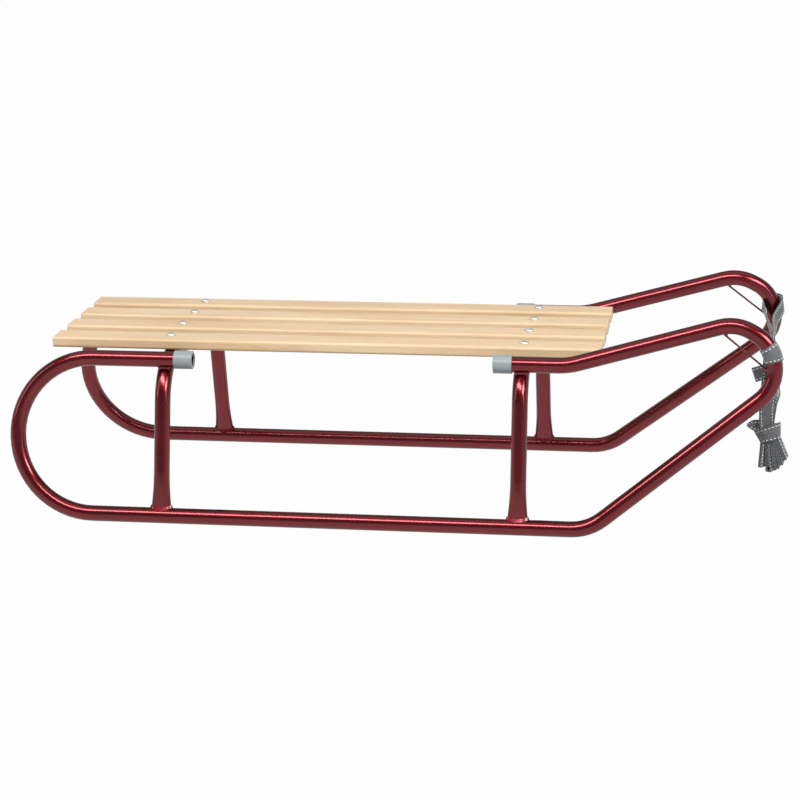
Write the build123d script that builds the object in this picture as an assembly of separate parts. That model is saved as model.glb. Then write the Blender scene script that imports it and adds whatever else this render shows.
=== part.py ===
"""Steel tube sled with a slatted wooden seat and a webbing tow strap.

Millimetres, +X forward (the horns), +Y left, +Z up.  The sled stands on its runners at
Z = 0, and the origin lies under the middle of the frame's length.
"""
import os
from math import cos, hypot, radians, sin, sqrt, tan

from build123d import *

os.makedirs("parts", exist_ok=True)

# ---- Driving dimensions -------------------------------------------------------------
# Steel tube of the runners and the arches
tube_diameter = 20.0
tube_wall = 1.5

# Seat slats
slat_count = 4
slat_width = 40.0
slat_gap = 24.5              # between neighbouring slats
slat_thickness = 14.0
slat_rear_overhang = 151.5   # past the middle of the rear arch
slat_front_overhang = 97.5   # past the middle of the front arch
slat_edge_radius = 3.6
slat_end_radius = 1.2
slat_top_height = 223.8
seat_gap = 0.1               # slat to arch, and nut to arch

# Side frames
side_room = 66.75            # seat's edge to the runner's centreline, seen from above
side_lean = 12.1             # degrees that each side frame leans in at the top
arch_spacing = 454.0         # rear arch to front arch
rear_bend_setback = 90.0     # rear arch back to the centre of the rear bend
front_bend_lead = 88.0       # front arch ahead to the corner of the front bend
rear_top_rise = 4.3          # upper tube behind the rear sleeve, above the arches
front_top_rise = 8.3         # upper tube ahead of the front sleeve, above the arches
rise_angle = 39.0            # degrees, in the side frame's own plane
rise_reach = 230.0           # front bend corner to the horn's low corner, along X
top_bend_lead = 59.0         # front arch ahead to the corner under the horn's slope
horn_front_setback = 15.8    # horn's low corner back to its front corner
horn_front_rise = 51.388     # horn's front corner above its low corner
horn_top_setback = 54.8      # horn's low corner back to its top corner
horn_top_rise = 21.8         # horn's top corner above its front corner
horn_toe_out = 6.5           # the horn's upper corners stand this far outside the plane
front_bend_radius = 62.0
horn_low_radius = 48.0
horn_front_radius = 44.0
horn_top_radius = 50.0
top_bend_radius = 90.0

# Grey end sleeves
sleeve_wall = 1.45
sleeve_length = 23.5
sleeve_fit = 0.15            # radial play on the tube
sleeve_lip = 2.0             # closed rim beyond the tube's end
sleeve_rim = 1.75            # how far that rim covers the tube's end
sleeve_edge_radius = 1.2
rear_sleeve_clear = 5.5      # rear arch tube to the sleeve
front_sleeve_clear = 0.5     # front arch tube to the sleeve

# Legs
foot_width = 27.0            # flattened foot, along the runner
foot_thickness = 9.6
foot_flare_height = 56.0     # where the flattening starts, above the runner's centreline
foot_end_height = 6.0        # where it is fully flat
foot_middle_share = 0.45     # middle section: share of the height between the two,
foot_widening_share = 0.32   # of the widening
foot_flattening_share = 0.38     # and of the flattening
weld_gap = 0.1               # face of a leg to the tube it is welded to
foot_weld_width = 3.0
foot_weld_height = 3.4
shoulder_weld_diameter = 9.0
shoulder_weld_length = 15.0
shoulder_weld_drop = 3.8     # bead's middle below the line where tube and arch meet
shoulder_weld_round = 2.7

# Seat bolts
bolt_diameter = 6.0
bolt_clearance = 0.5         # hole over bolt, on the diameter
bolt_head_diameter = 12.0
bolt_head_height = 3.2
bolt_dome_radius = 2.2
bolt_socket_size = 4.0       # across flats
bolt_socket_depth = 1.8
bolt_tip_reach = 2.5         # bolt beyond the nut
nut_size = 10.0              # across flats
nut_height = 5.0
nut_play = 0.3               # bore over bolt, on the diameter

# Wire chord across the inside of each horn
chord_diameter = 2.4
chord_top_setback = 24.0     # horn's top corner back to the chord's upper end
chord_low_drop = 63.3        # horn's top corner down to the chord's lower end

# Tow strap, gripping the right horn and looped round the left one
strap_width = 20.0
strap_thickness = 1.6
strap_play = 0.3
loop_drop = 36.3             # horn's top corner down to the middle of the near loop
far_loop_drop = 34.3         # and of the far loop
far_loop_play = 3.6          # slack of the far loop on the tube
drop_offset = -1.5           # drop strand ahead of the near loop's middle, along X
drop_overlap = 6.0           # drop strand's upper end above the near loop's middle, down
drop_length = 92.0           # near loop's middle to the top of the wrap
wrap_height = 22.0
wrap_length = 29.0
wrap_depth = 24.0
wrap_round = 7.2
fold_height = 41.0           # folds below the wrap
fold_length = 34.0
fold_depth = 25.0
fold_tuck = 1.0              # folds reach this far up into the wrap
fold_inset = 4.0             # and are this much smaller there
fold_middle_share = 0.62     # widest section, as a share of the folds' height
fold_end_length = 22.4
fold_end_depth = 20.0
fold_lead = 3.4              # widest section ahead of the wrap
fold_end_lead = 2.0
fold_round_share = 0.3
tail_length = 11.5
tail_height = 19.0
side_loop_length = 12.0
side_loop_depth = 10.0
side_loop_height = 14.0
side_loop_round = 4.2
side_loop_drop = 2.8         # side loop's middle below the top of the wrap
span_diameter = 9.0          # webbing twisted on itself
# the span's points, left of the wrap's middle and above its top
span_route = [(4.0, 0.0), (4.0, 15.0), (19.0, 30.5), (54.0, 38.5),
              (106.0, 46.5), (161.0, 58.5), (212.0, 74.5)]
span_arc_share = 0.45        # share of the shorter run that each arc takes

# ---- Derived sizes ------------------------------------------------------------------
tube_radius = tube_diameter / 2
bore_radius = tube_radius - tube_wall
lean_sin = sin(radians(side_lean))
lean_cos = cos(radians(side_lean))
leg_turn = radians(90 - side_lean)
slat_pitch = slat_width + slat_gap
track_width = (slat_count - 1) * slat_pitch + slat_width + 2 * side_room
rear_arch_x = 0.0
front_arch_x = arch_spacing
slat_bottom_height = slat_top_height - slat_thickness
arch_height = slat_bottom_height - seat_gap - tube_radius
rear_top_height = arch_height + rear_top_rise
front_top_height = arch_height + front_top_rise
horn_low_height = tube_radius + rise_reach * tan(radians(rise_angle)) * lean_cos
horn_front_height = horn_low_height + horn_front_rise
horn_top_height = horn_front_height + horn_top_rise


def side_y(height):
    """Distance of a side frame's plane from the middle, at a height above the ground."""
    return track_width / 2 - (height - tube_radius) * lean_sin / lean_cos


def in_plane(x, rise):
    """Point of the left side frame, 'rise' above the runner's centreline in its plane."""
    return Vector(x, track_width / 2 - rise * lean_sin, tube_radius + rise * lean_cos)


def horn_corners():
    """Corner points of the left tube from its front end to the front bend."""
    bend_x = front_arch_x + front_bend_lead
    low_x = bend_x + rise_reach
    low = in_plane(low_x, rise_reach * tan(radians(rise_angle)))
    front = Vector(low_x - horn_front_setback, side_y(horn_front_height) + horn_toe_out,
                   horn_front_height)
    top = Vector(low_x - horn_top_setback, side_y(horn_top_height) + horn_toe_out,
                 horn_top_height)
    slope = Vector(front_arch_x + top_bend_lead, side_y(front_top_height), front_top_height)
    end = Vector(front_arch_x - tube_radius - front_sleeve_clear - sleeve_length + sleeve_lip,
                 slope.Y, slope.Z)
    return end, slope, top, front, low, in_plane(bend_x, 0)


def runner_path():
    """Centreline of the left tube: rear end, rear bend, runner, horn and front end."""
    bend_x = rear_arch_x - rear_bend_setback
    rise = (rear_top_height - tube_radius) / lean_cos
    rear_end_x = rear_arch_x + tube_radius + rear_sleeve_clear + sleeve_length - sleeve_lip
    half = rise / 2
    end, slope, top, front, low, bend = horn_corners()
    ground = in_plane(bend_x, 0)
    top_run = Line(in_plane(rear_end_x, rise), in_plane(bend_x, rise))
    rear_bend = ThreePointArc(in_plane(bend_x, rise), in_plane(bend_x - half, half), ground)
    horn = FilletPolyline(ground, bend, low, front, top, slope, end,
                          radius=[front_bend_radius, horn_low_radius, horn_front_radius,
                                  horn_top_radius, top_bend_radius])
    return Wire([*top_run.edges(), *rear_bend.edges(), *horn.edges()])


def pipe(path, radius, bore=0.0):
    """Round tube along a path, solid where it has no bore."""
    start = Plane(origin=path @ 0, z_dir=path % 0)
    outer = sweep(start * Circle(radius), path=path)
    if bore:
        return outer - sweep(start * Circle(bore), path=path)
    return outer


def turned_right(shape):
    """The right-hand twin of a left-hand piece."""
    return mirror(shape, about=Plane.XZ)


# ---- Side tubes ---------------------------------------------------------------------
left_path = runner_path()
left_tube = pipe(left_path, tube_radius, bore_radius)

# ---- Arches -------------------------------------------------------------------------


def shoulder_outward():
    """Unit direction, in Y and Z, that halves the left shoulder's outer corner."""
    length = hypot(1 - lean_sin, lean_cos)
    return (1 - lean_sin) / length, lean_cos / length


def shoulder_radius(top_height):
    """Bend radius that lays an arch's shoulder against the side tube above it."""
    out_y, out_z = shoulder_outward()
    stretch = 1 / cos(leg_turn / 2)
    off_y = side_y(top_height) - side_y(arch_height)
    off_z = top_height - arch_height
    reach = tube_diameter + weld_gap
    a = stretch ** 2 - 1
    b = stretch * (off_y * out_y + off_z * out_z) - reach
    c = off_y ** 2 + off_z ** 2 - reach ** 2
    return (-b + sqrt(b * b - a * c)) / a


def foot_plane(x, rise):
    """Plane across the left leg, 'rise' above the runner, its X along the runner."""
    return Plane(origin=in_plane(x, rise), x_dir=(1, 0, 0), z_dir=(0, -lean_sin, lean_cos))


def foot(x, inset=0.0):
    """Flattened lower end of the left leg, drawn in by 'inset' for its hollow."""
    flat_length, flat_depth = foot_width / 2, foot_thickness / 2
    middle = foot_end_height + (foot_flare_height - foot_end_height) * foot_middle_share
    middle_length = tube_radius + (flat_length - tube_radius) * foot_widening_share
    middle_depth = tube_radius - (tube_radius - flat_depth) * foot_flattening_share
    return loft([
        foot_plane(x, foot_flare_height) * Circle(tube_radius - inset),
        foot_plane(x, middle) * Ellipse(middle_length - inset, middle_depth - inset),
        foot_plane(x, foot_end_height) * Ellipse(flat_length - inset, flat_depth - inset),
    ])


def runner_bar(x, radius):
    """Round bar on the left runner's centreline, longer than a foot."""
    bar = Rot(0, 90, 0) * Cylinder(radius, foot_width * 3)
    return Pos(x, track_width / 2, tube_radius) * bar


def arch_path(x, radius):
    """Centreline of an arch between the tops of its two feet."""
    start = in_plane(x, foot_flare_height)
    corner = Vector(x, side_y(arch_height), arch_height)
    left = [start, corner]
    right = [Vector(point.X, -point.Y, point.Z) for point in reversed(left)]
    return Wire(FilletPolyline(*left, *right, radius=radius).edges())


def arch(x, top_height):
    """Inverted-U tube across the sled with flattened feet that saddle the runners."""
    path = arch_path(x, shoulder_radius(top_height))
    body = pipe(path, tube_radius)
    hollow = pipe(path, bore_radius)
    left_foot = foot(x)
    left_hollow = foot(x, tube_wall)
    body = body + left_foot + turned_right(left_foot)
    hollow = hollow + left_hollow + turned_right(left_hollow)
    saddle = runner_bar(x, tube_radius + weld_gap)
    shape = body - hollow - saddle - turned_right(saddle)
    for index in range(slat_count):
        hole = Cylinder((bolt_diameter + bolt_clearance) / 2, tube_diameter * 2)
        shape = shape - Pos(x, slat_y(index), arch_height) * hole
    return shape


def slat_y(index):
    """Middle of a slat, counted from the right side."""
    return (index - (slat_count - 1) / 2) * slat_pitch


rear_arch = arch(rear_arch_x, rear_top_height)
front_arch = arch(front_arch_x, front_top_height)

# ---- Welds --------------------------------------------------------------------------


def foot_weld(x):
    """Bead round the left foot of a leg, lying on the runner."""
    half_length, half_depth = foot_width / 2, foot_thickness / 2
    wide = Ellipse(half_length + foot_weld_width, half_depth + foot_weld_width)
    narrow = Ellipse(half_length + weld_gap, half_depth + weld_gap)
    bead = loft([foot_plane(x, foot_end_height) * wide,
                 foot_plane(x, tube_radius + foot_weld_height) * narrow])
    return bead - foot(x, -weld_gap) - runner_bar(x, tube_radius + weld_gap)


def shoulder_weld(x, top_height):
    """Bead in the crook between a side tube and the outside of an arch's shoulder."""
    radius = shoulder_radius(top_height)
    out_y, out_z = shoulder_outward()
    centre_y = side_y(arch_height) - out_y * radius / cos(leg_turn / 2)
    centre_z = arch_height - out_z * radius / cos(leg_turn / 2)
    to_y, to_z = side_y(top_height) - centre_y, top_height - centre_z
    reach = hypot(to_y, to_z)
    to_y, to_z = to_y / reach, to_z / reach
    # the crook opens outwards and down, square to the line of centres
    bead_y = centre_y + to_y * (radius + tube_radius) + to_z * shoulder_weld_drop
    bead_z = centre_z + to_z * (radius + tube_radius) - to_y * shoulder_weld_drop
    bead = Cylinder(shoulder_weld_diameter / 2, shoulder_weld_length)
    bead = fillet(bead.edges(), shoulder_weld_round)
    bead = Pos(x, bead_y, bead_z) * Rot(0, 90, 0) * bead
    bar = Rot(0, 90, 0) * Cylinder(tube_radius + weld_gap, shoulder_weld_length * 3)
    bar = Pos(x, side_y(top_height), top_height) * bar
    shoulder = Plane(origin=(x, centre_y, centre_z), z_dir=(1, 0, 0)) * Torus(
        radius, tube_radius + weld_gap)
    return bead - bar - shoulder


# ---- End sleeves --------------------------------------------------------------------


def sleeve(x, height, facing):
    """Plastic sleeve on the left tube's end at x, opening towards 'facing' along X."""
    body = Cylinder(tube_radius + sleeve_fit + sleeve_wall, sleeve_length)
    body = fillet(body.edges().group_by(Axis.Z)[-1], sleeve_edge_radius)
    seat = Cylinder(tube_radius + sleeve_fit, sleeve_length - sleeve_lip)
    body = body - Pos(0, 0, -sleeve_lip / 2) * seat
    body = body - Cylinder(tube_radius - sleeve_rim, sleeve_length * 2)
    middle = x + facing * (sleeve_lip - sleeve_length / 2)
    return Pos(middle, side_y(height), height) * Rot(0, 90 * facing, 0) * body


rear_end_x = (left_path @ 0).X
front_end_x = (left_path @ 1).X
rear_sleeve = sleeve(rear_end_x, rear_top_height, 1)
front_sleeve = sleeve(front_end_x, front_top_height, -1)

# ---- Seat ---------------------------------------------------------------------------


def slat(index):
    """One seat slat with eased edges and a hole above each arch."""
    start = rear_arch_x - slat_rear_overhang
    length = front_arch_x + slat_front_overhang - start
    board = Box(length, slat_width, slat_thickness)
    board = fillet(board.edges().filter_by(Axis.X), slat_edge_radius)
    board = fillet(board.faces().sort_by(Axis.X)[-1].edges(), slat_end_radius)
    board = fillet(board.faces().sort_by(Axis.X)[0].edges(), slat_end_radius)
    board = Pos(start + length / 2, slat_y(index), slat_top_height - slat_thickness / 2) * board
    for x in (rear_arch_x, front_arch_x):
        hole = Cylinder((bolt_diameter + bolt_clearance) / 2, slat_thickness * 3)
        board = board - Pos(x, slat_y(index), slat_top_height) * hole
    return board


def nut_top(y, radius):
    """Height of a nut's upper face, clear of the arch's underside where that bends down."""
    bend_start = side_y(arch_height) - radius * tan(leg_turn / 2)
    past = max(0.0, abs(y) + nut_size / sqrt(3) - bend_start)
    inner = radius - tube_radius
    drop = inner - sqrt(inner ** 2 - past ** 2)
    return arch_height - tube_radius - seat_gap - drop


def bolt(x, y, radius):
    """Dome-headed bolt down through a slat and the arch below it."""
    head = Cylinder(bolt_head_diameter / 2, bolt_head_height,
                    align=(Align.CENTER, Align.CENTER, Align.MIN))
    head = fillet(head.edges().group_by(Axis.Z)[-1], bolt_dome_radius)
    socket = extrude(RegularPolygon(bolt_socket_size / 2, 6, major_radius=False),
                     bolt_head_height * 2)
    head = head - Pos(0, 0, bolt_head_height - bolt_socket_depth) * socket
    length = slat_top_height - nut_top(y, radius) + nut_height + bolt_tip_reach
    shank = Cylinder(bolt_diameter / 2, length, align=(Align.CENTER, Align.CENTER, Align.MAX))
    return Pos(x, y, slat_top_height) * (head + shank)


def nut(x, y, radius):
    """Hexagon nut under an arch."""
    body = extrude(RegularPolygon(nut_size / 2, 6, major_radius=False), -nut_height)
    bore = Cylinder((bolt_diameter + nut_play) / 2, nut_height * 3)
    return Pos(x, y, nut_top(y, radius)) * (body - bore)


# ---- Chord rods ---------------------------------------------------------------------
path_steps = 400             # samples along the tube when looking for its nose
nose_reach = 0.05            # how far either side of it the horn's front is searched


def horn_station(height):
    """Point and direction of the left horn's front stretch at a height."""
    nose = max(range(path_steps), key=lambda step: (left_path @ (step / path_steps)).X)
    low = nose / path_steps - nose_reach
    high = nose / path_steps + nose_reach
    for _ in range(30):
        middle = (low + high) / 2
        if (left_path @ middle).Z < height:
            low = middle
        else:
            high = middle
    return left_path @ low, left_path % low


def chord():
    """Wire across the inside of the left horn, its ends cut to the tube."""
    slope, top = horn_corners()[1:3]
    along = (slope - top).normalized()
    upper = top + along * (chord_top_setback / abs(along.X))
    lower = horn_station(horn_top_height - chord_low_drop)[0]
    line = Wire([Edge.make_line(upper, lower)])
    rod = pipe(line, chord_diameter / 2) - pipe(left_path, tube_radius + weld_gap)
    return rod.solids().sort_by(SortBy.VOLUME)[-1]


# ---- Tow strap ----------------------------------------------------------------------
loop_centre, loop_up = horn_station(horn_top_height - loop_drop)
far_centre, far_up = horn_station(horn_top_height - far_loop_drop)
strap_x = loop_centre.X + drop_offset
# the strand hangs inside the right horn's band
drop_y = tube_radius + 2 * strap_play + strap_thickness * 1.5 - loop_centre.Y
wrap_y = drop_y + wrap_depth / 2 - strap_thickness
wrap_top_height = loop_centre.Z - drop_length


def near_loop():
    """Webbing band gripped round the right horn."""
    inner = tube_radius + strap_play
    band = pipe(left_path, inner + strap_thickness, inner)
    slab = Plane(origin=loop_centre, z_dir=loop_up) * Box(
        tube_diameter * 2, tube_diameter * 2, strap_width)
    return turned_right(band & slab)


def strap_plate(x, low, high, length):
    """Flat stretch of webbing hanging beside the right horn between two heights."""
    return Pos(x, drop_y, (low + high) / 2) * Box(length, strap_thickness, high - low)


def drop_strand():
    """Webbing that hangs from the near loop to the wrapped hank."""
    return strap_plate(strap_x, wrap_top_height, loop_centre.Z - drop_overlap, strap_width)


def tail():
    """Free end of the strap beside the near loop."""
    x = strap_x - (strap_width + tail_length) / 2
    top = loop_centre.Z - strap_width
    return strap_plate(x, top - tail_height, top, tail_length)


def hank():
    """Outer shape of the folded middle of the strap and the band wrapped round it."""
    wrap = Box(wrap_length, wrap_depth, wrap_height)
    wrap = fillet(wrap.edges().filter_by(Axis.Z), wrap_round)
    wrap = Pos(strap_x, wrap_y, wrap_top_height - wrap_height / 2) * wrap
    wrap_bottom = wrap_top_height - wrap_height
    stations = (
        (wrap_bottom + fold_tuck, 0, wrap_length - fold_inset, wrap_depth - fold_inset),
        (wrap_bottom - fold_height * fold_middle_share, fold_lead, fold_length, fold_depth),
        (wrap_bottom - fold_height, fold_end_lead, fold_end_length, fold_end_depth),
    )
    folds = loft([Pos(strap_x + lead, wrap_y, z)
                  * RectangleRounded(length, depth, depth * fold_round_share)
                  for z, lead, length, depth in stations])
    side_loop = Box(side_loop_length + strap_thickness, side_loop_depth, side_loop_height)
    side_loop = fillet(side_loop.edges().filter_by(Axis.Y), side_loop_round)
    side_x = strap_x - (wrap_length + side_loop_length - strap_thickness) / 2
    side_loop = Pos(side_x, wrap_y, wrap_top_height - side_loop_drop) * side_loop
    return wrap + folds + side_loop


def span_point(left, up):
    """Point of the span, from the top of the wrap's middle."""
    return Vector(strap_x, wrap_y + left, wrap_top_height + up)


def span():
    """Slack webbing from the hank across to the far loop."""
    points = [span_point(*place) for place in span_route]
    radii = []
    for before, here, after in zip(points, points[1:], points[2:]):
        shorter = min((here - before).length, (after - here).length)
        turn = radians((here - before).get_angle(after - here))
        radii.append(span_arc_share * shorter / tan(turn / 2))
    path = Wire(FilletPolyline(*points, radius=radii).edges())
    print("tow strap span radii", [round(radius, 1) for radius in radii])
    print("tow strap span length", round(path.length, 1))
    return pipe(path, span_diameter / 2)


def teardrop(radius, reach):
    """Circle drawn out to a point at a distance along X."""
    lean = radius / reach
    side = radius * sqrt(1 - lean ** 2)
    cone = Polyline((0, 0), (radius * lean, side), (reach, 0), (radius * lean, -side), (0, 0))
    return Circle(radius) + make_face(cone)


def far_loop():
    """Loop of webbing round the left horn, its legs drawn together towards the span."""
    pull = span_point(*span_route[-1]) - far_centre
    reach = pull.length - strap_play
    pull = pull.normalized()
    across = (far_up - pull * far_up.dot(pull)).normalized()
    inner = tube_radius + far_loop_play
    outer = inner + strap_thickness
    outline = teardrop(outer, reach) - teardrop(inner, reach * inner / outer)
    place = Plane(origin=far_centre, x_dir=pull, z_dir=across)
    return place * extrude(outline, strap_width / 2, both=True)


# ---- Nodes --------------------------------------------------------------------------
pieces = {
    "side_tube_left": left_tube,
    "side_tube_right": turned_right(left_tube),
    "rear_arch": rear_arch,
    "front_arch": front_arch,
    "rear_sleeve_left": rear_sleeve,
    "rear_sleeve_right": turned_right(rear_sleeve),
    "front_sleeve_left": front_sleeve,
    "front_sleeve_right": turned_right(front_sleeve),
}
for name, x, height in (("rear", rear_arch_x, rear_top_height),
                        ("front", front_arch_x, front_top_height)):
    foot_bead = foot_weld(x)
    shoulder_bead = shoulder_weld(x, height)
    radius = shoulder_radius(height)
    pieces[f"{name}_foot_weld_left"] = foot_bead
    pieces[f"{name}_foot_weld_right"] = turned_right(foot_bead)
    pieces[f"{name}_shoulder_weld_left"] = shoulder_bead
    pieces[f"{name}_shoulder_weld_right"] = turned_right(shoulder_bead)
    for index in range(slat_count):
        pieces[f"{name}_bolt_{index + 1}"] = bolt(x, slat_y(index), radius)
        pieces[f"{name}_nut_{index + 1}"] = nut(x, slat_y(index), radius)
for index in range(slat_count):
    pieces[f"seat_slat_{index + 1}"] = slat(index)
left_chord = chord()
pieces["horn_chord_left"] = left_chord
pieces["horn_chord_right"] = turned_right(left_chord)
pieces["tow_strap_near_loop"] = near_loop()
pieces["tow_strap_drop"] = drop_strand()
pieces["tow_strap_tail"] = tail()
pieces["tow_strap_hank"] = hank()
pieces["tow_strap_span"] = span()
pieces["tow_strap_far_loop"] = far_loop()

middle_x = left_tube.bounding_box().center().X
for name, piece in pieces.items():
    export_step(Pos(-middle_x, 0, 0) * piece, f"parts/{name}.step")
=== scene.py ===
"""Looks of a tubular steel sled: finishes for the frame, the seat and the tow strap.

Metres, +X forward to the horns, +Y to the rider's left, +Z up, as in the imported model.
"""
import logging
import math
from dataclasses import dataclass
from enum import Enum

import bmesh
import bpy
from mathutils import Matrix, Vector


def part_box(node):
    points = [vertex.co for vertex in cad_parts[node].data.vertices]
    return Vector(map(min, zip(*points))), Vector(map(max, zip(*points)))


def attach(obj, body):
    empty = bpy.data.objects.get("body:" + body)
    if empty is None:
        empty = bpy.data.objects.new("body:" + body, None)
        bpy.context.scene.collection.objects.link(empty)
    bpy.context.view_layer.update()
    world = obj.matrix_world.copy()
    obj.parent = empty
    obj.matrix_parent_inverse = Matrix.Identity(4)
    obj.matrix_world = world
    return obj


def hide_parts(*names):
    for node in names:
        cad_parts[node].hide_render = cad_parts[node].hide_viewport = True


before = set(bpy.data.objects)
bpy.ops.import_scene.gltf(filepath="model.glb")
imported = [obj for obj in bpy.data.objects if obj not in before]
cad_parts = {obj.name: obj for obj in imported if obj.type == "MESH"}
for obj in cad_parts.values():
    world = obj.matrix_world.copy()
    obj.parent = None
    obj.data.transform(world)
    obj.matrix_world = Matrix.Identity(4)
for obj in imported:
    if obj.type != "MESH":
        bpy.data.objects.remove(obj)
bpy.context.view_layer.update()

BODY = "root"
MM = 0.001
LOG = logging.getLogger("sled")


# ---- Node trees -----------------------------------------------------------------------


class Graph:
    """Adds nodes to one tree and joins them."""

    def __init__(self, tree: bpy.types.NodeTree) -> None:
        """Start on an emptied tree.

        Args:
            tree: The node tree to fill.
        """
        self.tree = tree
        self.tree.nodes.clear()

    def add(self, kind: str, values: dict | None = None, **settings: object) -> bpy.types.Node:
        """Add a node.

        Args:
            kind: The node's type without its ShaderNode prefix, or its whole name.
            values: Sockets by name or index, each a plain value or a socket to link from.
            settings: Attributes of the node.

        Returns:
            The new node.
        """
        whole = kind if kind.startswith("NodeGroup") else f"ShaderNode{kind}"
        node = self.tree.nodes.new(whole)
        for name, value in settings.items():
            setattr(node, name, value)
        for name, value in (values or {}).items():
            if isinstance(value, bpy.types.NodeSocket):
                self.tree.links.new(value, node.inputs[name])
            else:
                node.inputs[name].default_value = value
        return node

    def math(self, operation: str, first: object, second: object = 0.0,
             clamp: bool = False) -> bpy.types.NodeSocket:
        """Join two values by a Math node and return its result."""
        node = self.add("Math", {0: first, 1: second}, operation=operation, use_clamp=clamp)
        return node.outputs[0]

    def blend(self, factor: object, first: object, second: object) -> bpy.types.NodeSocket:
        """Mix two colours by a factor and return the result."""
        node = self.add("Mix", {"Factor": factor, 6: first, 7: second}, data_type="RGBA")
        return node.outputs[2]

    def use(self, group: bpy.types.NodeTree, values: dict) -> bpy.types.Node:
        """Place a node group with its own input values and return its node."""
        return self.add("Group", values, node_tree=group)


class Effects:
    """The node groups that several finishes share, each built once."""

    _made: dict[str, bpy.types.NodeTree] = {}

    @classmethod
    def _new(cls, name: str, inputs: dict[str, tuple[str, object]],
             outputs: dict[str, str]) -> tuple[bpy.types.NodeTree, Graph, bpy.types.Node]:
        """Make an empty group with named sockets.

        Args:
            name: The group's name.
            inputs: Socket type and default by socket name.
            outputs: Socket type by socket name.

        Returns:
            The tree, a graph on it and its input node.
        """
        tree = bpy.data.node_groups.new(name, "ShaderNodeTree")
        for label, (kind, default) in inputs.items():
            socket = tree.interface.new_socket(label, in_out="INPUT", socket_type=kind)
            socket.default_value = default
        for label, kind in outputs.items():
            tree.interface.new_socket(label, in_out="OUTPUT", socket_type=kind)
        graph = Graph(tree)
        return tree, graph, graph.add("NodeGroupInput")

    @classmethod
    def mottle(cls) -> bpy.types.NodeTree:
        """Uneven noise over the object, as a value between two limits and a raw height."""
        if "mottle" not in cls._made:
            tree, graph, given = cls._new(
                "mottle",
                {"Stretch": ("NodeSocketVector", (1.0, 1.0, 1.0)),
                 "Scale": ("NodeSocketFloat", 50.0),
                 "Detail": ("NodeSocketFloat", 3.0),
                 "Low": ("NodeSocketFloat", 0.0),
                 "High": ("NodeSocketFloat", 1.0)},
                {"Value": "NodeSocketFloat", "Height": "NodeSocketFloat"})
            place = graph.add("TexCoord").outputs["Object"]
            stretched = graph.add("VectorMath", {0: place, 1: given.outputs["Stretch"]},
                                  operation="MULTIPLY").outputs[0]
            noise = graph.add("TexNoise", {"Vector": stretched, "Scale": given.outputs["Scale"],
                                           "Detail": given.outputs["Detail"]}).outputs["Fac"]
            value = graph.add("MapRange", {"Value": noise, "From Min": 0.3, "From Max": 0.7,
                                           "To Min": given.outputs["Low"],
                                           "To Max": given.outputs["High"]}).outputs["Result"]
            graph.add("NodeGroupOutput", {"Value": value, "Height": noise})
            cls._made["mottle"] = tree
        return cls._made["mottle"]

    @classmethod
    def relief(cls) -> bpy.types.NodeTree:
        """Normal bent by a height, in metres of depth."""
        if "relief" not in cls._made:
            tree, graph, given = cls._new(
                "relief",
                {"Height": ("NodeSocketFloat", 0.0), "Depth": ("NodeSocketFloat", 0.0001)},
                {"Normal": "NodeSocketVector"})
            bump = graph.add("Bump", {"Height": given.outputs["Height"], "Strength": 1.0,
                                      "Distance": given.outputs["Depth"]})
            graph.add("NodeGroupOutput", {"Normal": bump.outputs["Normal"]})
            cls._made["relief"] = tree
        return cls._made["relief"]


# ---- Finishes -------------------------------------------------------------------------


def blank_material(name: str) -> tuple[bpy.types.Material, Graph, bpy.types.Node]:
    """Make a material that holds only a Principled shader.

    Args:
        name: The material's name.

    Returns:
        The material, a graph on its tree and the Principled node.
    """
    material = bpy.data.materials.new(name)
    material.use_nodes = True
    graph = Graph(material.node_tree)
    shader = graph.add("BsdfPrincipled")
    graph.add("OutputMaterial", {"Surface": shader.outputs["BSDF"]})
    return material, graph, shader


@dataclass(frozen=True)
class CandyPaint:
    """Red lacquer over bright metal under a clear coat."""

    name: str = "candy_red_lacquer"
    light: tuple[float, float, float, float] = (0.23, 0.0008, 0.009, 1.0)
    deep: tuple[float, float, float, float] = (0.13, 0.0004, 0.005, 1.0)
    edge: tuple[float, float, float, float] = (0.22, 0.05, 0.07, 1.0)
    metallic: float = 1.0
    coat: float = 0.75
    ripple: float = 0.0

    def material(self) -> bpy.types.Material:
        """Build the lacquer; ripple is the depth of a weld bead's rings, in metres."""
        material, graph, shader = blank_material(self.name)
        cloud = graph.use(Effects.mottle(), {"Scale": 26.0, "Detail": 2.0}).outputs["Value"]
        flake = graph.use(Effects.mottle(), {"Scale": 1700.0, "Detail": 0.0, "Low": -0.08,
                                             "High": 0.12}).outputs["Value"]
        share = graph.math("ADD", graph.math("MULTIPLY", cloud, 0.35), flake, clamp=True)
        colour = graph.blend(share, self.deep, self.light)
        gloss = graph.use(Effects.mottle(), {"Scale": 60.0, "Low": 0.25, "High": 0.33})
        peel = graph.use(Effects.mottle(), {"Scale": 420.0, "Detail": 1.0}).outputs["Height"]
        height = peel
        depth = 0.000005
        if self.ripple:
            rings = graph.add("TexWave", {"Scale": 190.0, "Distortion": 5.0, "Detail": 2.0,
                                          "Vector": graph.add("TexCoord").outputs["Object"]},
                              bands_direction="X").outputs["Fac"]
            height = graph.math("ADD", peel, rings)
            depth = self.ripple
        normal = graph.use(Effects.relief(), {"Height": height, "Depth": depth})
        graph.tree.links.new(colour, shader.inputs["Base Color"])
        graph.tree.links.new(gloss.outputs["Value"], shader.inputs["Roughness"])
        graph.tree.links.new(normal.outputs["Normal"], shader.inputs["Normal"])
        shader.inputs["Metallic"].default_value = self.metallic
        shader.inputs["Specular Tint"].default_value = self.edge
        shader.inputs["Coat Weight"].default_value = self.coat
        shader.inputs["Coat Roughness"].default_value = 0.16
        shader.inputs["Coat IOR"].default_value = 1.55
        return material


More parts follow.
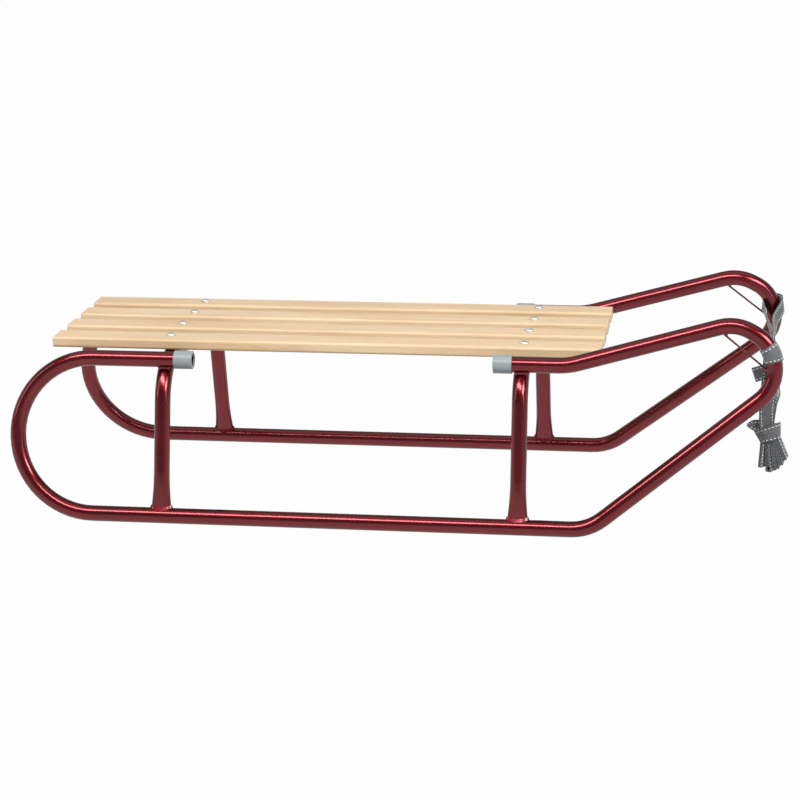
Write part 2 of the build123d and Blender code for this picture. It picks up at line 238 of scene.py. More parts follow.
@dataclass(frozen=True)
class LacqueredWood:
    """Pale straight-grained wood under a satin clear lacquer."""

    name: str = "pale_beech"
    early: tuple[float, float, float, float] = (0.78, 0.605, 0.395, 1.0)
    late: tuple[float, float, float, float] = (0.62, 0.415, 0.225, 1.0)
    fleck: tuple[float, float, float, float] = (0.42, 0.245, 0.115, 1.0)

    def material(self) -> bpy.types.Material:
        """Build rings, slow drift and short pores, along X."""
        material, graph, shader = blank_material(self.name)
        mottle = Effects.mottle()
        rings = graph.use(mottle, {"Stretch": (0.55, 26.0, 20.0), "Scale": 9.0, "Detail": 5.0})
        drift = graph.use(mottle, {"Stretch": (1.0, 3.2, 3.2), "Scale": 5.5, "Detail": 1.0})
        pores = graph.use(mottle, {"Stretch": (3.0, 150.0, 150.0), "Scale": 11.0, "Detail": 2.0,
                                   "Low": -1.6, "High": 1.0})
        share = graph.math("MULTIPLY", rings.outputs["Value"], 0.62)
        share = graph.math("ADD", share, graph.math("MULTIPLY", drift.outputs["Value"], 0.42))
        colour = graph.blend(graph.math("MULTIPLY", share, 1.0, clamp=True), self.early, self.late)
        speck = graph.math("MULTIPLY", pores.outputs["Value"], 0.38, clamp=True)
        colour = graph.blend(speck, colour, self.fleck)
        normal = graph.use(Effects.relief(), {"Height": rings.outputs["Height"],
                                              "Depth": 0.00018})
        gloss = graph.use(mottle, {"Stretch": (1.0, 9.0, 9.0), "Scale": 16.0, "Low": 0.40,
                                   "High": 0.52})
        graph.tree.links.new(colour, shader.inputs["Base Color"])
        graph.tree.links.new(gloss.outputs["Value"], shader.inputs["Roughness"])
        graph.tree.links.new(normal.outputs["Normal"], shader.inputs["Normal"])
        shader.inputs["Coat Weight"].default_value = 0.05
        shader.inputs["Coat Roughness"].default_value = 0.3
        return material


@dataclass(frozen=True)
class PlainFinish:
    """A moulded or plated finish: two near colours, a roughness range and a fine relief."""

    name: str
    first: tuple[float, float, float, float]
    second: tuple[float, float, float, float]
    metallic: float = 0.0
    rough_low: float = 0.4
    rough_high: float = 0.5
    scale: float = 300.0
    depth: float = 0.00004
    stretch: tuple[float, float, float] = (1.0, 1.0, 1.0)

    def material(self) -> bpy.types.Material:
        """Build the finish from its mottle."""
        material, graph, shader = blank_material(self.name)
        mottle = Effects.mottle()
        drift = graph.use(mottle, {"Scale": self.scale * 0.2, "Stretch": self.stretch})
        grit = graph.use(mottle, {"Scale": self.scale, "Stretch": self.stretch,
                                  "Low": self.rough_low, "High": self.rough_high})
        colour = graph.blend(drift.outputs["Value"], self.first, self.second)
        normal = graph.use(Effects.relief(), {"Height": grit.outputs["Height"],
                                              "Depth": self.depth})
        graph.tree.links.new(colour, shader.inputs["Base Color"])
        graph.tree.links.new(grit.outputs["Value"], shader.inputs["Roughness"])
        graph.tree.links.new(normal.outputs["Normal"], shader.inputs["Normal"])
        shader.inputs["Metallic"].default_value = self.metallic
        return material


@dataclass(frozen=True)
class WovenWebbing:
    """Grey flat webbing: ribs across the strap, warp threads along it; its sunk parts carry
    painted shade.
    """

    name: str = "woven_grey_webbing"
    raised: tuple[float, float, float, float] = (0.225, 0.231, 0.245, 1.0)
    # Colour of the weave's sunk parts: painted shade between the threads, the same grey yarn
    # darkened.
    groove_shade: tuple[float, float, float, float] = (0.05, 0.052, 0.056, 1.0)
    rib_pitch: float = 1.05 * MM
    warp_pitch: float = 0.8 * MM

    def material(self) -> bpy.types.Material:
        """Build the weave, with painted shade in its sunk parts, from the strap's own UV map,
        which is in metres.
        """
        material, graph, shader = blank_material(self.name)
        place = graph.add("UVMap", uv_map=Strip.UV_NAME).outputs["UV"]
        parts = graph.add("SeparateXYZ", {0: place})
        warp = self._wave(graph, parts.outputs["X"], self.warp_pitch)
        rib = self._wave(graph, parts.outputs["Y"], self.rib_pitch)
        weave = graph.math("ADD", graph.math("MULTIPLY", rib, 0.6),
                           graph.math("MULTIPLY", graph.math("MULTIPLY", warp, rib), 0.4))
        fuzz = graph.use(Effects.mottle(), {"Scale": 900.0, "Detail": 2.0, "Low": -0.2,
                                            "High": 0.25})
        share = graph.math("ADD", weave, fuzz.outputs["Value"], clamp=True)
        # Blend from the thread's grey towards painted shade where the weave sinks.
        colour = graph.blend(share, self.groove_shade, self.raised)
        normal = graph.use(Effects.relief(), {"Height": share, "Depth": 0.00022})
        graph.tree.links.new(colour, shader.inputs["Base Color"])
        graph.tree.links.new(normal.outputs["Normal"], shader.inputs["Normal"])
        shader.inputs["Roughness"].default_value = 0.85
        shader.inputs["Sheen Weight"].default_value = 0.35
        shader.inputs["Sheen Roughness"].default_value = 0.5
        return material

    @staticmethod
    def _wave(graph: Graph, along: bpy.types.NodeSocket, pitch: float) -> bpy.types.NodeSocket:
        """Smooth wave from 0 to 1 with a pitch in metres."""
        turned = graph.math("SINE", graph.math("MULTIPLY", along, math.tau / pitch))
        return graph.add("Math", {0: turned, 1: 0.5, 2: 0.5},
                         operation="MULTIPLY_ADD").outputs[0]


class Finish(Enum):
    """Every finish on the sled."""

    TUBE = CandyPaint()
    BEAD = CandyPaint(name="candy_red_weld", ripple=0.00025)
    WOOD = LacqueredWood()
    SLEEVE = PlainFinish("grey_blue_plastic", (0.26, 0.296, 0.314, 1.0), (0.283, 0.32, 0.337, 1.0),
                         rough_low=0.36, rough_high=0.46, scale=700.0)
    ZINC = PlainFinish("zinc_plating", (0.66, 0.67, 0.68, 1.0), (0.74, 0.72, 0.66, 1.0),
                       metallic=1.0, rough_low=0.45, rough_high=0.6, scale=420.0, depth=0.00002)
    WIRE = PlainFinish("dark_red_wire", (0.055, 0.016, 0.014, 1.0), (0.10, 0.02, 0.020, 1.0),
                       metallic=0.6, rough_low=0.22, rough_high=0.36, scale=240.0)
    WEBBING = WovenWebbing()
    THREAD = PlainFinish("pale_thread", (0.72, 0.74, 0.74, 1.0), (0.86, 0.87, 0.86, 1.0),
                         rough_low=0.7, rough_high=0.85, scale=1500.0, depth=0.00008)

    def on(self, piece: bpy.types.Object) -> None:
        """Give a piece this finish, built the first time it is asked for."""
        if self not in MIXED:
            MIXED[self] = self.value.material()
        piece.data.materials.clear()
        piece.data.materials.append(MIXED[self])


MIXED: dict[Finish, bpy.types.Material] = {}


# ---- Flat webbing ---------------------------------------------------------------------


@dataclass
class Strip:
    """A length of flat webbing laid along stations, with its rows of stitches.

    A station is a 4x4 matrix: its X runs across the strap, its Y out of its face and its Z
    along it.
    """

    name: str
    stations: list[Matrix]
    width: float = 20.0 * MM
    thickness: float = 1.5 * MM
    columns: int = 8
    stitch_inset: float = 2.7 * MM
    stitch_length: float = 2.9 * MM
    stitch_pitch: float = 4.4 * MM
    stitch_thread: float = 1.25 * MM
    stitch_from: float = 0.0

    UV_NAME = "weave"

    def build(self, thread: bmesh.types.BMesh) -> bpy.types.Object:
        """Build the strap and sew it.

        Args:
            thread: The mesh that gathers the stitches.

        Returns:
            The strap, riding on the sled.
        """
        self._sew(thread)
        return self._cloth()

    def _cloth(self) -> bpy.types.Object:
        """Extrude a row of edges from station to station and give it its thickness."""
        shape = bmesh.new()
        uv = shape.loops.layers.uv.new(self.UV_NAME)
        ends = [shape.verts.new((side * self.width / 2, 0, 0)) for side in (-1, 1)]
        edge = shape.edges.new(ends)
        bmesh.ops.subdivide_edges(shape, edges=[edge], cuts=self.columns - 1)
        place = {v: (v.co.x, 0.0) for v in shape.verts}
        row = list(shape.edges)
        bmesh.ops.transform(shape, matrix=self.stations[0], verts=shape.verts[:])
        along = 0.0
        for before, here in zip(self.stations, self.stations[1:]):
            along += (here.translation - before.translation).length
            grown = bmesh.ops.extrude_edge_only(shape, edges=row)["geom"]
            fresh = [g for g in grown if isinstance(g, bmesh.types.BMVert)]
            bmesh.ops.transform(shape, matrix=here @ before.inverted(), verts=fresh)
            for v in fresh:
                across = (here.inverted() @ v.co).x
                place[v] = (across, along)
            row = [g for g in grown if isinstance(g, bmesh.types.BMEdge)]
        for face in shape.faces:
            for loop in face.loops:
                loop[uv].uv = place[loop.vert]
        piece = finished(shape, self.name, Finish.WEBBING)
        solid = piece.modifiers.new("thickness", "SOLIDIFY")
        solid.thickness = self.thickness
        solid.offset = 0.0
        solid.use_even_offset = False
        round_edge = piece.modifiers.new("selvedge", "BEVEL")
        round_edge.width = self.thickness * 0.3
        round_edge.segments = 2
        round_edge.limit_method = "ANGLE"
        round_edge.angle_limit = math.radians(60)
        return piece

    def _sew(self, thread: bmesh.types.BMesh) -> None:
        """Lay short threads in a row near both edges, on both faces."""
        rows = bmesh.new()
        steps = [(b.translation - a.translation).length
                 for a, b in zip(self.stations, self.stations[1:])]
        total = sum(steps)
        count = int((total - self.stitch_from) / self.stitch_pitch)
        for index in range(count):
            at = self.stitch_from + (index + 0.5) * self.stitch_pitch
            here = self._station_at(at, steps)
            for side in (-1, 1):
                for face in (-1, 1):
                    self._stitch(rows, here @ Matrix.Translation(
                        (side * (self.width / 2 - self.stitch_inset),
                         face * self.thickness * 0.5, 0)))
        pour(rows, thread)

    def _station_at(self, at: float, steps: list[float]) -> Matrix:
        """Blend the two stations that a distance along the strap falls between."""
        for index, step in enumerate(steps):
            if at <= step or index == len(steps) - 1:
                return self.stations[index].lerp(self.stations[index + 1], min(1.0, at / step))
            at -= step
        return self.stations[-1]

    def _stitch(self, rows: bmesh.types.BMesh, place: Matrix) -> None:
        """Add one stitch, a slim bead lying along the strap."""
        size = Matrix.Diagonal((self.stitch_thread / 2, self.stitch_thread * 0.3,
                                self.stitch_length / 2, 1.0))
        bmesh.ops.create_uvsphere(rows, u_segments=8, v_segments=5, radius=1.0,
                                  matrix=place @ size)


def pour(part: bmesh.types.BMesh, whole: bmesh.types.BMesh) -> None:
    """Add one mesh to another and free it.

    Args:
        part: The mesh to add.
        whole: The mesh that takes it.
    """
    carrier = bpy.data.meshes.new("carrier")
    part.to_mesh(carrier)
    part.free()
    whole.from_mesh(carrier)
    bpy.data.meshes.remove(carrier)


def finished(shape: bmesh.types.BMesh, name: str, finish: Finish,
             smooth: bool = True) -> bpy.types.Object:
    """Turn a bmesh into a piece of the sled.

    Args:
        shape: The mesh, in the sled's frame; it is freed.
        name: The piece's name.
        finish: Its finish.
        smooth: Whether its faces are shaded smooth.

    Returns:
        The piece, riding on the sled's body.
    """
    for face in shape.faces:
        face.smooth = smooth
    mesh = bpy.data.meshes.new(name)
    shape.to_mesh(mesh)
    shape.free()
    piece = bpy.data.objects.new(name, mesh)
    bpy.context.scene.collection.objects.link(piece)
    finish.on(piece)
    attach(piece, BODY)
    LOG.info("built %s with %d faces", name, len(mesh.polygons))
    return piece


def nurbs_line(points: list[Vector], name: str, order: int = 3) -> list[Vector]:
    """Read a smooth line from a NURBS spline that has these control points.

    Args:
        points: The control points.
        name: A name for the short-lived curve.
        order: The spline's order.

    Returns:
        Points along the spline.
    """
    curve = bpy.data.curves.new(name, "CURVE")
    curve.dimensions = "3D"
    spline = curve.splines.new("NURBS")
    spline.points.add(len(points) - 1)
    for knot, point in zip(spline.points, points):
        knot.co = (*point, 1.0)
    spline.order_u = order
    spline.use_endpoint_u = True
    spline.resolution_u = 10
    holder = bpy.data.objects.new(name, curve)
    mesh = bpy.data.meshes.new_from_object(holder)
    line = [v.co.copy() for v in mesh.vertices]
    bpy.data.objects.remove(holder)
    bpy.data.meshes.remove(mesh)
    bpy.data.curves.remove(curve)
    return line


def stations_along(line: list[Vector], across: list[tuple[float, Vector]]) -> list[Matrix]:
    """Stand a station on each point of a line.

    Args:
        line: Points down the middle of the strap.
        across: The strap's width direction at shares of its length, from 0 to 1.

    Returns:
        One matrix for each point.
    """
    steps = [0.0]
    for before, here in zip(line, line[1:]):
        steps.append(steps[-1] + (here - before).length)
    made = []
    for index, point in enumerate(line):
        share = steps[index] / steps[-1]
        ahead = line[min(index + 1, len(line) - 1)]
        behind = line[max(index - 1, 0)]
        along = (ahead - behind).normalized()
        wide = across[-1][1]
        for (low, first), (high, second) in zip(across, across[1:]):
            if low <= share <= high:
                wide = first.lerp(second, (share - low) / (high - low))
                break
        wide = (wide - along * wide.dot(along)).normalized()
        out = along.cross(wide)
        made.append(Matrix((wide, out, along)).transposed().to_4x4())
        made[-1].translation = point
    return made


def tube_axis(node: str, heights: list[float], ahead_of: float) -> list[Vector]:
    """Find a bent tube's centre where level planes cut its front stretch.

    Args:
        node: The tube's CAD node.
        heights: The planes' heights.
        ahead_of: Only the cut ahead of this X is read.

    Returns:
        One centre for each height.
    """
    centres = []
    for height in heights:
        shape = bmesh.new()
        shape.from_mesh(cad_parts[node].data)
        cut = bmesh.ops.bisect_plane(
            shape, geom=shape.verts[:] + shape.edges[:] + shape.faces[:], dist=1e-7,
            plane_co=(0, 0, height), plane_no=(0, 0, 1))["geom_cut"]
        ring = [g.co for g in cut if isinstance(g, bmesh.types.BMVert) and g.co.x > ahead_of]
        low = [min(c[axis] for c in ring) for axis in range(2)]
        high = [max(c[axis] for c in ring) for axis in range(2)]
        centres.append(Vector(((low[0] + high[0]) / 2, (low[1] + high[1]) / 2, height)))
        shape.free()
    return centres


# ---- Tow strap ------------------------------------------------------------------------


@dataclass
class Band:
    """Webbing wound once round something, as a closed ring with its rows of stitches."""

    name: str
    rings: list[Matrix]
    segments: int = 56
    thickness: float = 1.4 * MM
    stitch_pitch: float = 4.4 * MM

    def build(self, thread: bmesh.types.BMesh) -> bpy.types.Object:
        """Build the ring's cloth and sew it with the shared thread."""
        self._sew(thread)
        return self._cloth()

    def _cloth(self) -> bpy.types.Object:
        """Extrude a circle from ring to ring and give it its thickness."""
        shape = bmesh.new()
        uv = shape.loops.layers.uv.new(Strip.UV_NAME)
        bmesh.ops.create_circle(shape, segments=self.segments, radius=1.0, matrix=self.rings[0])
        row = list(shape.edges)
        for before, here in zip(self.rings, self.rings[1:]):
            grown = bmesh.ops.extrude_edge_only(shape, edges=row)["geom"]
            fresh = [g for g in grown if isinstance(g, bmesh.types.BMVert)]
            bmesh.ops.transform(shape, matrix=here @ before.inverted(), verts=fresh)
            row = [g for g in grown if isinstance(g, bmesh.types.BMEdge)]
        middle = self.rings[len(self.rings) // 2]
        home = middle.inverted()
        radius = (middle @ Vector((1, 0, 0)) - middle.translation).length
        for face in shape.faces:
            places = [home @ loop.vert.co for loop in face.loops]
            turns = [math.atan2(p.y, p.x) for p in places]
            wrapped = max(turns) - min(turns) > math.pi
            for loop, place, turn in zip(face.loops, places, turns):
                turn += math.tau if wrapped and turn < 0 else 0
                loop[uv].uv = (place.z, turn * radius)
        piece = finished(shape, self.name, Finish.WEBBING)
        solid = piece.modifiers.new("thickness", "SOLIDIFY")
        solid.thickness = self.thickness
        solid.offset = 0.0
        return piece

    def _sew(self, thread: bmesh.types.BMesh) -> None:
        """Lay short threads round both edges."""
        beads = bmesh.new()
        size = Matrix.Diagonal((0.62 * MM, 0.4 * MM, 1.45 * MM, 1.0))
        rows = ((self.rings[0], self.rings[1]), (self.rings[-1], self.rings[-2]))
        for edge, inner in rows:
            ring = edge.lerp(inner, 0.8)
            up = (inner.translation - edge.translation).normalized()
            round_it = (ring @ Vector((1, 0, 0)) - ring.translation).length * math.tau
            count = round(round_it * 0.9 / self.stitch_pitch)
            for index in range(count):
                turn = math.tau * (index + 0.3) / count
                here = ring @ Vector((math.cos(turn), math.sin(turn), 0.0))
                ahead = ring @ Vector((math.cos(turn + 0.05), math.sin(turn + 0.05), 0.0))
                along = (ahead - here).normalized()
                out = along.cross(up).normalized()
                out = out if out.dot(here - ring.translation) > 0 else -out
                place = Matrix((up, out, along)).transposed().to_4x4()
                place.translation = here + out * self.thickness * 0.55
                bmesh.ops.create_uvsphere(beads, u_segments=8, v_segments=5, radius=1.0,
                                          matrix=place @ size)
        pour(beads, thread)


@dataclass
class TowStrap:
    """The webbing tow strap: its grip on the right horn, the wrapped hank and the far loop."""

    width: float = 20.0 * MM
    grip_play: float = 0.25 * MM
    folds: int = 7

    def build(self) -> None:
        low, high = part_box("tow_strap_near_loop")
        self.near = (low + high) / 2
        low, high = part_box("tow_strap_drop")
        self.drop_x = (low.x + high.x) / 2
        self.drop_y = (low.y + high.y) / 2
        self.wrap_top = low.z
        low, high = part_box("tow_strap_hank")
        self.hank_y = (low.y + high.y) / 2
        self.thread = bmesh.new()
        span = self._span()
        riders = [self._grip(), self._tail(), self._drop(), self._wrap(), self._bow(),
                  self._far_loop(), *self._hairpins()]
        riders.append(finished(self.thread, "tow_strap_stitches", Finish.THREAD))

    def _at(self, ahead: float, left: float, up: float) -> Vector:
        """Place a point by millimetres from the middle of the hank's top."""
        return Vector((self.drop_x + ahead * MM, self.hank_y + left * MM,
                       self.wrap_top + up * MM))

    def _strip(self, name: str, points: list[Vector], across: list[tuple[float, Vector]],
               width: float | None = None, pinch: float = 1.0,
               reach: float = 0.06) -> bpy.types.Object:
        """Build one strap along a smooth line drawn through these points' neighbourhood.

        Args:
            name: The piece's name.
            points: Control points of the line.
            across: The strap's width direction at shares of its length.
            width: The strap's width, the usual one if left out.
            pinch: Share of the width left where the strap turns back, half way along.
            reach: How far the narrowing spreads, as a share of the length.

        Returns:
            The strap.
        """
        stations = stations_along(nurbs_line(points, name), across)
        for index, station in enumerate(stations):
            away = (index / (len(stations) - 1) - 0.5) / reach
            narrow = 1.0 - (1.0 - pinch) * math.exp(-away * away)
            stations[index] = station @ Matrix.Diagonal((narrow, 1.0, 1.0, 1.0))
        return Strip(name, stations, width or self.width).build(self.thread)

    def _span(self) -> bpy.types.Object:
        """Webbing that rises from the wrap and crosses to the far loop, turning as it goes."""
        self.route = [Vector(p) for p in (
            (0.4752, -0.1138, 0.1370), (0.4754, -0.1134, 0.1510), (0.4752, -0.0985, 0.1620),
            (0.4745, -0.0638, 0.1690), (0.4740, -0.0118, 0.1745), (0.4742, 0.0432, 0.1815),
            (0.4754, 0.0960, 0.1945))]
        self.line = nurbs_line(self.route, "tow_strap_route")
        self.length = sum((b - a).length for a, b in zip(self.line, self.line[1:]))
        across = [(0.0, Vector((0.25, -0.97, 0.0))), (0.13, Vector((0.6, -0.8, 0.0))),
                  (0.3, Vector((0.95, 0.0, -0.3))), (0.6, Vector((0.9, 0.0, 0.5))),
                  (0.85, Vector((0.3, -0.1, 0.9))), (1.0, Vector((0.1, -0.4, 0.9)))]
        strip = Strip("tow_strap_span_webbing", stations_along(self.line, across), self.width)
        made = strip.build(self.thread)
        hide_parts("tow_strap_span")
        return made

    def _grip(self) -> bpy.types.Object:
        """Band drawn tight round the right horn, bent along with the tube."""
        rows = 7
        radius = 10.0 * MM + self.grip_play + 0.75 * MM
        reach = self.width * 0.47
        heights = [self.near.z + reach * (2 * row / (rows - 1) - 1) for row in range(rows)]
        axis = tube_axis("side_tube_right", heights, self.near.x - 30 * MM)
        level = Vector((0, 1, 0))
        stations = stations_along(axis, [(0.0, level), (1.0, level)])
        size = Matrix.Diagonal((radius, radius, 1.0, 1.0))
        made = Band("tow_strap_grip_band", [station @ size for station in stations])
        made = made.build(self.thread)
        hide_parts("tow_strap_near_loop")
        return made

    def _tail(self) -> bpy.types.Object:
        """Cut end of the strap, which pokes out behind the horn below the band."""
        low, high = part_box("tow_strap_tail")
        end = Vector((low.x + 1.5 * MM, self.drop_y, (low.z + high.z) / 2 - 1.0 * MM))
        along = Vector((0.95, 0.0, 0.31))
        points = [end, end + along * 8 * MM, end + along * 16 * MM + Vector((0, 0.4 * MM, 0)),
                  end + along * 25 * MM + Vector((0, 0.8 * MM, 1.5 * MM))]
        wide = Vector((-0.31, 0.0, 0.95))
        made = self._strip("tow_strap_tail_webbing", points, [(0.0, wide), (1.0, wide)],
                           width=18.5 * MM)
        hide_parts("tow_strap_tail")
        return made

    def _drop(self) -> bpy.types.Object:
        """Strand from the band's inner side down into the wrap."""
        top = Vector((self.drop_x + 1 * MM, self.drop_y + 1.4 * MM, self.near.z - 4 * MM))
        points = [top, top - Vector((1.5, -0.6, 26)) * MM, top - Vector((3.0, 0.0, 56)) * MM,
                  self._at(-3.6, -8.0, 6.0), self._at(-0.6, -5.0, -14.0)]
        across = [(0.0, Vector((0.94, 0.3, 0.0))), (0.5, Vector((0.93, 0.36, 0.0))),
                  (1.0, Vector((0.86, 0.45, -0.12)))]
        made = self._strip("tow_strap_drop_webbing", points, across)
        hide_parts("tow_strap_drop")
        return made

    def _wrap(self) -> bpy.types.Object:
        """Band wound round the hank, tilted and drawn in at its foot."""
        top = self._at(-1.8, 0.0, -6.4)
        foot = self._at(3.0, 0.0, -25.0)
        rows = 7
        rings = []
        for row in range(rows):
            share = row / (rows - 1)
            lean = (Matrix.Rotation(math.radians(-15.0 - 5.5 * share), 4, "Y")
                    @ Matrix.Rotation(math.radians(-12.0), 4, "X"))
            size = Vector((11.4, 10.2, 1.0)).lerp(Vector((16.6, 11.8, 1.0)), share ** 0.85) * MM
            place = Matrix.Translation(foot.lerp(top, share))
            rings.append(place @ lean @ Matrix.Diagonal((size.x, size.y, 1.0, 1.0)))
        made = Band("tow_strap_wrap_band", rings, thickness=1.6 * MM).build(self.thread)
        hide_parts("tow_strap_hank")
        return made

    def _bow(self) -> bpy.types.Object:
        """Short flat fold pulled out of the wrap towards the rear."""
        points = [self._at(-7.0, -3.0, -4.4), self._at(-14.0, -3.2, -4.0),
                  self._at(-21.5, -3.6, -3.8), self._at(-27.4, -4.2, -4.2),
                  self._at(-21.5, -5.2, -4.0), self._at(-14.0, -6.0, -4.4),
                  self._at(-6.0, -5.4, -5.2)]
        wide = Vector((0.12, 0.25, 0.96))
        return self._strip("tow_strap_bow_webbing", points, [(0.0, wide), (1.0, wide)],
                           width=13.5 * MM, pinch=0.3, reach=0.2)

    def _hairpins(self) -> list[bpy.types.Object]:
        """Folds that hang out below the wrap, fanned to the front."""
        # top and bottom ahead of the strand, bottom below the wrap's top, half gap, turn, pinch
        fan = [(-1.0, -4.4, -57.5, 1.15, 48.0, 0.5), (1.0, 2.7, -55.0, 2.0, 66.0, 0.8),
               (1.8, 4.9, -63.0, 3.2, 62.0, 0.7), (2.6, 10.0, -60.0, 1.5, 80.0, 0.8),
               (3.4, 13.4, -58.0, 1.5, 84.0, 0.8), (4.4, 18.0, -53.0, 1.4, 83.0, 0.8),
               (5.4, 22.4, -46.0, 1.3, 82.0, 0.7)]
        made = []
        for number, (top, bottom, height, gap, turn, pinch) in enumerate(fan[:self.folds], 1):
            wide = Vector((math.cos(math.radians(turn)), math.sin(math.radians(turn)), 0.0))
            apart = Vector((wide.y, -wide.x, 0.0)) * gap * MM
            start = self._at(top, 0.0, -5.0)
            end = self._at(bottom, -1.0 if number == 1 else 0.0, height)
            down = (end - start).normalized()
            near_end = end - down * gap * 1.2 * MM
            bulge = start.lerp(end, 0.7)
            close = apart.normalized() * 1.1 * MM
            points = [start + close, bulge + close, near_end + apart,
                      end + apart * 0.9, end - apart * 0.9, near_end - apart,
                      bulge - close, start - close]
            made.append(self._strip(f"tow_strap_fold_{number}", points,
                                    [(0.0, wide), (1.0, wide)], width=18.0 * MM,
                                    pinch=pinch))
        return made

    def _far_loop(self) -> bpy.types.Object:
        """Loose loop round the left horn, both legs drawn down to the span's end."""
        low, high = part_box("tow_strap_far_loop")
        level = high.z - 14 * MM
        centre = tube_axis("side_tube_left", [level], self.near.x - 30 * MM)[0]
        join = self.line[-1]
        places = ((-3.2, -24, -25), (-5.0, -17, -18), (-7.6, -10.5, -12), (-10.5, 3, -8),
                  (-4.5, 14, -7), (8.5, 14, -6), (17.0, 5, -5), (17.5, -7, -9),
                  (11.5, -16, -17), (5.5, -25, -27))
        points = [join] + [centre + Vector(place) * MM for place in places]
        points.append(join + Vector((1.2, 0.0, 0.0)) * MM)
        across = [(0.0, Vector((0.0, -0.5, 0.85))), (0.2, Vector((0.02, -0.93, 0.35))),
                  (0.38, Vector((0.05, -0.5, 0.85))), (0.5, Vector((0.0, 0.0, 1.0))),
                  (0.64, Vector((-0.1, -0.3, 0.9))), (0.8, Vector((-0.4, -0.68, 0.58))),
                  (1.0, Vector((-0.05, -0.5, 0.85)))]
        made = self._strip("tow_strap_far_webbing", points, across)
        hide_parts("tow_strap_far_loop")
        return made


# ---- Frame, sleeves and seat ----------------------------------------------------------


@dataclass
class MetalFrame:
    """The lacquered tubes, their welds and the wires across the horns."""

    bead_radius: float = 2.3 * MM

    def build(self) -> None:
        """Dress the CAD nodes and add the small welds at the wires' ends."""
        for name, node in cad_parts.items():
            if "weld" in name:
                Finish.BEAD.on(node)
            elif name.startswith("side_tube") or name.endswith("arch"):
                Finish.TUBE.on(node)
            elif name.startswith("horn_chord"):
                Finish.WIRE.on(node)
                self._wire_welds(name)
            else:
                continue
            LOG.info("dressed %s", name)

    def _wire_welds(self, name: str) -> None:
        """Small flattened beads where a wire meets its tube."""
        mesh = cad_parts[name].data
        ends = (max(mesh.vertices, key=lambda v: v.co.z).co, min(mesh.vertices,
                                                                key=lambda v: v.co.z).co)
        shape = bmesh.new()
        for end in ends:
            size = Matrix.Diagonal((1.25, 0.9, 0.8, 1.0))
            bmesh.ops.create_icosphere(shape, subdivisions=3, radius=self.bead_radius,
                                       matrix=Matrix.Translation(end) @ size)
        piece = finished(shape, f"{name}_beads", Finish.BEAD)


@dataclass
class Seat:
    """The slats and the hardware that holds them."""

    def build(self) -> None:
        """Dress slats, bolts, nuts and end sleeves."""
        for name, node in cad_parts.items():
            if name.startswith("seat_slat"):
                Finish.WOOD.on(node)
            elif "_bolt_" in name or "_nut_" in name:
                Finish.ZINC.on(node)
            elif "_sleeve_" in name:
                Finish.SLEEVE.on(node)
            else:
                continue
            LOG.info("dressed %s", name)


# ---- Studio ---------------------------------------------------------------------------


@dataclass(frozen=True)
class SoftBox:
    """One rectangular lamp."""

    name: str
    place: tuple[float, float, float]
    size: tuple[float, float]
    radiance: float

    def build(self, target: Vector) -> None:
        """Hang the lamp and turn it to the target."""
        lamp = bpy.data.lights.new(self.name, "AREA")
        lamp.shape = "RECTANGLE"
        lamp.size, lamp.size_y = self.size
        lamp.energy = self.radiance * math.pi * self.size[0] * self.size[1]
        holder = bpy.data.objects.new(self.name, lamp)
        toward = target - Vector(self.place)
        holder.rotation_euler = toward.to_track_quat("-Z", "Y").to_euler()
        holder.location = self.place
        bpy.context.scene.collection.objects.link(holder)


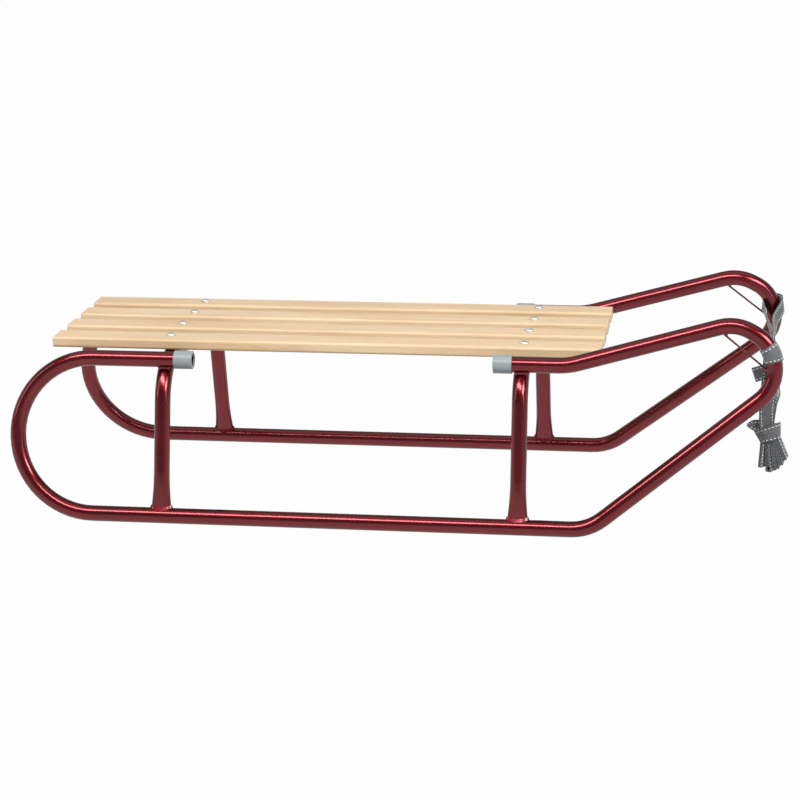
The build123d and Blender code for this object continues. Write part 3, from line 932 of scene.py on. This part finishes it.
@dataclass
class Studio:
    """The camera, the floor, the sky and the lamps."""

    eye: tuple[float, float, float] = (0.45101, -2.93572, 0.94228)
    heading: float = 8.873
    pitch: float = -15.487
    roll: float = -0.88
    lens: float = 105.53
    floor_radius: float = 40.0
    boxes: tuple[SoftBox, ...] = (
        SoftBox("long_strip", (-0.4, -1.62, 2.30), (2.8, 0.55), 13.5),
        SoftBox("horn_strip", (2.05, -1.35, 1.75), (1.3, 0.75), 13.0),
        SoftBox("overhead_panel", (0.0, 0.3, 3.0), (4.5, 2.2), 0.6),
        SoftBox("left_box", (-2.5, -1.0, 1.3), (0.3, 1.6), 6.0),
        SoftBox("right_box", (2.4, -1.3, 1.2), (0.3, 1.6), 5.5),
    )

    def camera(self) -> None:
        """Set the camera up."""
        lens = bpy.data.cameras.new("camera")
        lens.lens = self.lens
        lens.sensor_width = 36.0
        lens.clip_end = 200.0
        holder = bpy.data.objects.new("camera", lens)
        turned = (Matrix.Rotation(math.radians(self.heading), 4, "Z")
                  @ Matrix.Rotation(math.radians(90 + self.pitch), 4, "X")
                  @ Matrix.Rotation(math.radians(self.roll), 4, "Z"))
        holder.matrix_world = Matrix.Translation(self.eye) @ turned
        bpy.context.scene.collection.objects.link(holder)
        bpy.context.scene.camera = holder

    def build(self) -> None:
        """Lay the floor, light the set and set the view transform."""
        bpy.context.scene.view_settings.view_transform = "Standard"
        self._floor()
        self._sky()
        for box in self.boxes:
            box.build(Vector((0.0, 0.0, 0.12)))

    def _floor(self) -> None:
        """Wide pale floor that reads as white and keeps a soft shadow."""
        shape = bmesh.new()
        bmesh.ops.create_circle(shape, cap_ends=True, segments=96, radius=self.floor_radius)
        mesh = bpy.data.meshes.new("floor")
        shape.to_mesh(mesh)
        shape.free()
        floor = bpy.data.objects.new("floor", mesh)
        bpy.context.scene.collection.objects.link(floor)
        material = bpy.data.materials.new("pale_floor")
        material.use_nodes = True
        graph = Graph(material.node_tree)
        rays = graph.add("LightPath")
        seen = graph.math("ADD", rays.outputs["Is Camera Ray"], rays.outputs["Is Glossy Ray"])
        seen = graph.math("ADD", seen, rays.outputs["Is Transmission Ray"], clamp=True)
        share = graph.math("MULTIPLY", seen, 0.985)
        matt = graph.add("BsdfDiffuse", {"Color": (0.4, 0.4, 0.4, 1.0)})
        glow = graph.add("Emission", {"Color": (1.0, 1.0, 1.0, 1.0), "Strength": 1.0})
        mixed = graph.add("MixShader", {0: share, 1: matt.outputs[0], 2: glow.outputs[0]})
        graph.add("OutputMaterial", {"Surface": mixed.outputs[0]})
        mesh.materials.append(material)

    def _sky(self) -> None:
        """Even grey sky; the camera sees it white, and gloss sees a white backdrop behind."""
        world = bpy.data.worlds.new("studio")
        world.use_nodes = True
        bpy.context.scene.world = world
        graph = Graph(world.node_tree)
        height = graph.add("SeparateXYZ", {0: graph.add("TexCoord").outputs["Generated"]})
        low = graph.add("MapRange", {"Value": height.outputs["Z"], "From Min": 0.1,
                                     "From Max": 0.6, "To Min": 1.0, "To Max": 0.35})
        behind = graph.add("MapRange", {"Value": height.outputs["Y"], "From Min": -0.1,
                                        "From Max": 0.4, "To Min": 0.35, "To Max": 1.0})
        backdrop = graph.math("MULTIPLY", low.outputs["Result"], behind.outputs["Result"])
        rays = graph.add("LightPath")
        mirrored = graph.math("ADD", rays.outputs["Is Glossy Ray"],
                              rays.outputs["Is Transmission Ray"], clamp=True)
        strength = graph.math("MAXIMUM", graph.math("MULTIPLY", backdrop, mirrored), 0.15)
        strength = graph.math("MAXIMUM", strength, rays.outputs["Is Camera Ray"])
        light = graph.add("Background", {"Color": (1.0, 1.0, 1.0, 1.0), "Strength": strength})
        graph.add("OutputWorld", {"Surface": light.outputs[0]})


def main() -> None:
    """Build the camera and the strap, then dress the rest."""
    logging.basicConfig(level=logging.INFO, format="%(name)s: %(message)s")
    studio = Studio()
    studio.camera()
    for section in (TowStrap(), MetalFrame(), Seat()):
        section.build()
        LOG.info("%s done", type(section).__name__)
    studio.build()
    bpy.context.view_layer.update()


if __name__ == "__main__":
    main()
